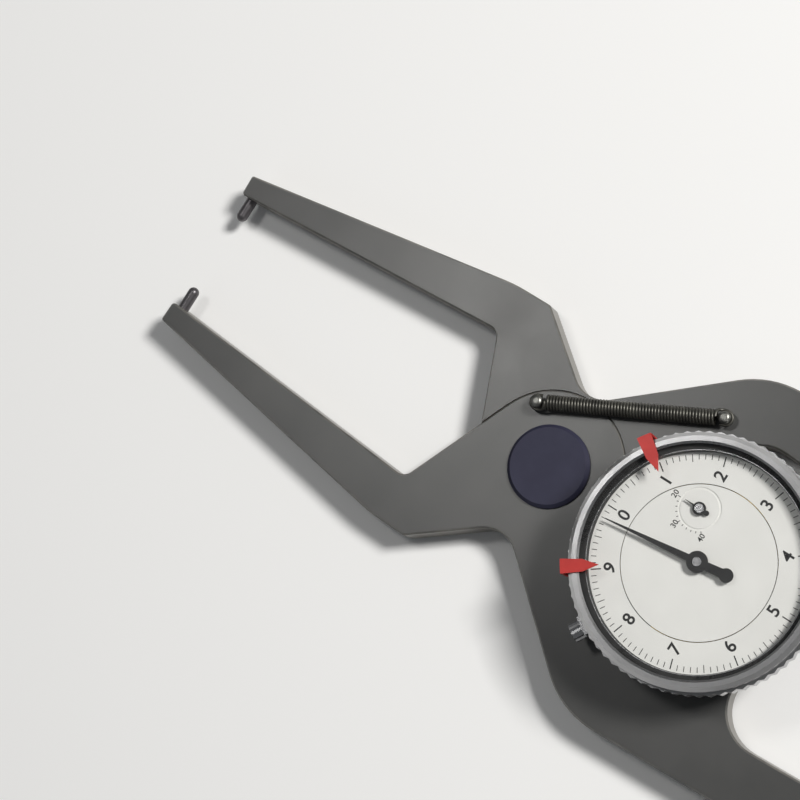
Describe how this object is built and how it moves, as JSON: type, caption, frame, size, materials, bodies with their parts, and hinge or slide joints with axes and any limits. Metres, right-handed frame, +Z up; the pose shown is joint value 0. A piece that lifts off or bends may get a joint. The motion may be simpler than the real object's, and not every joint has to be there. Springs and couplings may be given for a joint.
{
  "type": "dial caliper gauge",
  "caption": "Plier-like external dial caliper gauge with two pivoting lever jaws, a return spring and a geared dial between the handles.",
  "frame": {"origin": "on the pivot axis, at the plane the gauge lies on", "axes": "+X from the pivot to the jaws, +Y to the front lever's arm and handle, +Z up to the dial's reader, gauge lying on its back"},
  "size_m": [0.1996, 0.0892, 0.0267],
  "materials": {
    "lever_grey": "satin grey anodised",
    "bright_steel": "bright ground steel",
    "pin_steel": "dark hardened steel",
    "spring_steel": "dark oiled spring steel",
    "cap_blue": "dark blue, satin",
    "bronze": "turned bronze",
    "brass": "grained brass",
    "case_satin": "satin chromed",
    "cover_sheet": "satin sheet",
    "dial_white": "matt white printed",
    "hand_black": "matt black",
    "marker_red": "red enamel",
    "clear": "clear, polished",
    "gasket_black": "matt"
  },
  "bodies": {
    "front": {"front_lever": "lever_grey", "front_contact_pin": "pin_steel", "pivot_stud": "bright_steel", "lap_washer": "bronze", "pivot_washer": "bright_steel", "pivot_screw": "bright_steel", "pivot_cap": "cap_blue", "stop_pin": "bright_steel", "front_spring_post": "bright_steel", "sector_cover": "cover_sheet", "cover_screws": "bright_steel", "dial_pedestal": "case_satin", "dial_case": "case_satin", "case_screws": "bright_steel", "bezel_clamp": "bright_steel", "floor_bushes": "bronze", "bridge_bushes": "bronze", "counter_bush": "bronze", "bridge_pillars": "bright_steel", "movement_bridge": "brass", "bridge_screws": "bright_steel", "hairspring_stud": "brass", "hairspring": "spring_steel", "centre_dial": "dial_white", "bezel_wire": "spring_steel"},
    "rear": {"rear_lever": "lever_grey", "rear_contact_pin": "pin_steel", "rear_lever_bush": "bronze", "sector_gear": "bright_steel", "sector_screws": "bright_steel", "rear_spring_post": "bright_steel"},
    "counter": {"counter_arbor": "bright_steel", "counter_wheel": "brass", "counter_hand": "hand_black"},
    "centre": {"centre_arbor": "bright_steel", "pointer": "hand_black"},
    "takeup": {"takeup_arbor": "bright_steel", "takeup_wheel": "brass", "hairspring_collet": "brass"},
    "spring_front": {"spring_front_hook": "spring_steel", "tension_spring": "spring_steel"},
    "spring_rear": {"spring_rear_hook": "spring_steel"},
    "bezel": {"bezel": "case_satin", "dial_ring": "dial_white", "crystal": "clear", "crystal_gasket": "gasket_black"},
    "clamp_screw": {"bezel_clamp_screw": "bright_steel"},
    "marker_low": {"tolerance_marker_low": "marker_red"},
    "marker_high": {"tolerance_marker_high": "marker_red"}
  },
  "joints": [
    {"name": "jaw_hinge", "type": "hinge", "parent": "front", "child": "rear", "pos_m": [0, 0, 0.005], "axis": [0, 0, -1], "range_deg": [0, 11.5], "stiffness_Nm_per_rad": 0.3155, "springref_deg": -21.2},
    {"name": "counter_turn", "type": "hinge", "parent": "front", "child": "counter", "pos_m": [-0.03789, -0.01004, 0.008], "axis": [0, 0, 1], "range_deg": [0, 130]},
    {"name": "pointer_turn", "type": "hinge", "parent": "front", "child": "centre", "pos_m": [-0.044, 0, 0.016], "axis": [0, 0, -1], "range_deg": [0, 740]},
    {"name": "takeup_turn", "type": "hinge", "parent": "front", "child": "takeup", "pos_m": [-0.04881, 0.0079, 0.016], "axis": [0, 0, 1], "range_deg": [0, 173], "deforming": ["hairspring"]},
    {"name": "spring_swing", "type": "hinge", "parent": "front", "child": "spring_front", "pos_m": [0.01, -0.0112, 0.0108], "axis": [0, 0, -1], "range_deg": [0, 10.4]},
    {"name": "spring_stretch", "type": "slide", "parent": "spring_front", "child": "spring_rear", "axis": [-0.8972, -0.4417, 0], "range_m": [0, 0.0029], "deforming": ["tension_spring"]},
    {"name": "bezel_turn", "type": "hinge", "parent": "front", "child": "bezel", "pos_m": [-0.044, 0, 0.02], "axis": [0, 0, 1], "continuous": true},
    {"name": "clamp_screw_turn", "type": "hinge", "parent": "front", "child": "clamp_screw", "pos_m": [-0.02925, 0.02555, 0.016], "axis": [0.5, 0.866, 0], "range_deg": [-60, 180]},
    {"name": "marker_low_turn", "type": "hinge", "parent": "bezel", "child": "marker_low", "pos_m": [-0.044, 0, 0.023], "axis": [0, 0, 1], "range_deg": [-50, 30]},
    {"name": "marker_high_turn", "type": "hinge", "parent": "bezel", "child": "marker_high", "pos_m": [-0.044, 0, 0.023], "axis": [0, 0, 1], "range_deg": [-30, 50]}
  ],
  "couplings": [
    {"joint": "counter_turn", "follows": "jaw_hinge", "ratio": 11.25},
    {"joint": "pointer_turn", "follows": "jaw_hinge", "ratio": 64.286},
    {"joint": "takeup_turn", "follows": "jaw_hinge", "ratio": 15},
    {"joint": "spring_swing", "follows": "jaw_hinge", "ratio": 0.886},
    {"joint": "spring_stretch", "follows": "jaw_hinge", "m_per_rad": 0.01414}
  ]
}
